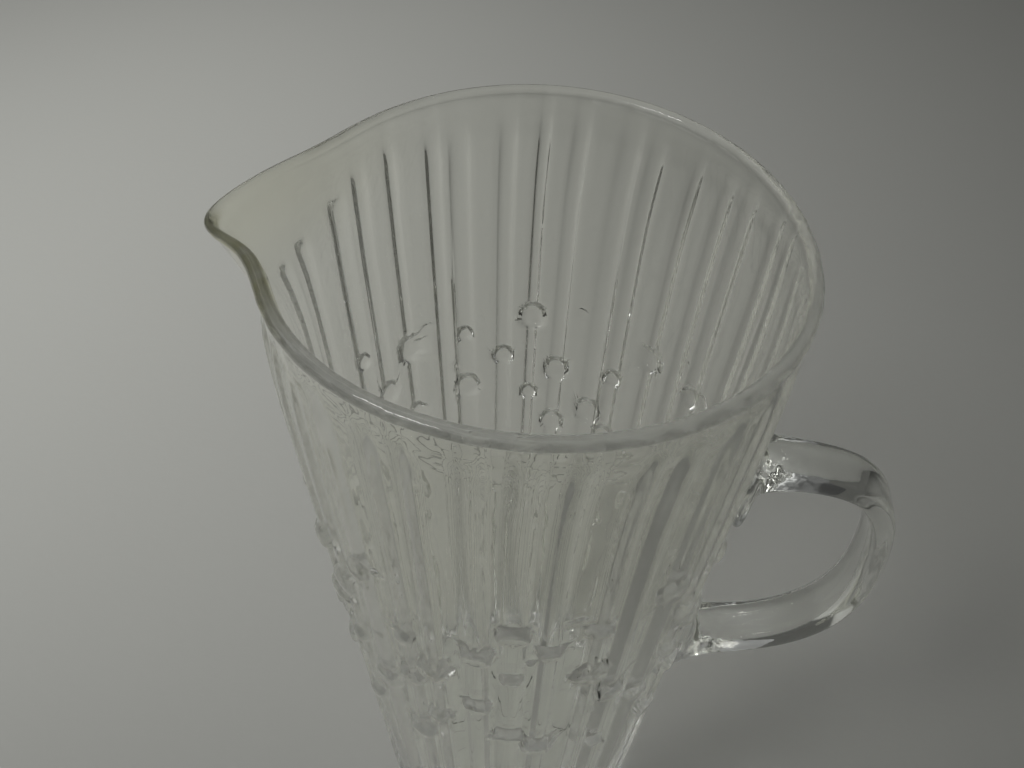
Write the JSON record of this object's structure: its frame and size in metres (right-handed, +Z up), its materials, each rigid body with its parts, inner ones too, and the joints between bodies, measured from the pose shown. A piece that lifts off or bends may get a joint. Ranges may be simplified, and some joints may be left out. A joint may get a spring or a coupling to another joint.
{
  "type": "glass jug",
  "caption": "Tall tapering clear glass jug with vertical reeds, small rounded drops, a pulled pouring lip and a strap handle.",
  "frame": {"origin": "centre of the standing face, on the body's axis, at table level", "axes": "+Z up the body's axis, +X towards the handle, -X towards the pouring lip"},
  "size_m": [0.1626, 0.126, 0.1962],
  "materials": {
    "body_glass": "clear, fire-polished, faintly rippled",
    "base_glass": "clear, thick, faint green-grey tint",
    "lip_glass": "clear, faint olive tint in the thick edge",
    "handle_glass": "clear, fire-polished"
  },
  "bodies": {
    "root": {"base": "base_glass", "reeded_wall": "body_glass", "rim": "body_glass", "pouring_lip": "lip_glass", "handle_strap": "handle_glass", "upper_handle_seal": "handle_glass", "lower_handle_seal": "handle_glass"}
  },
  "joints": []
}
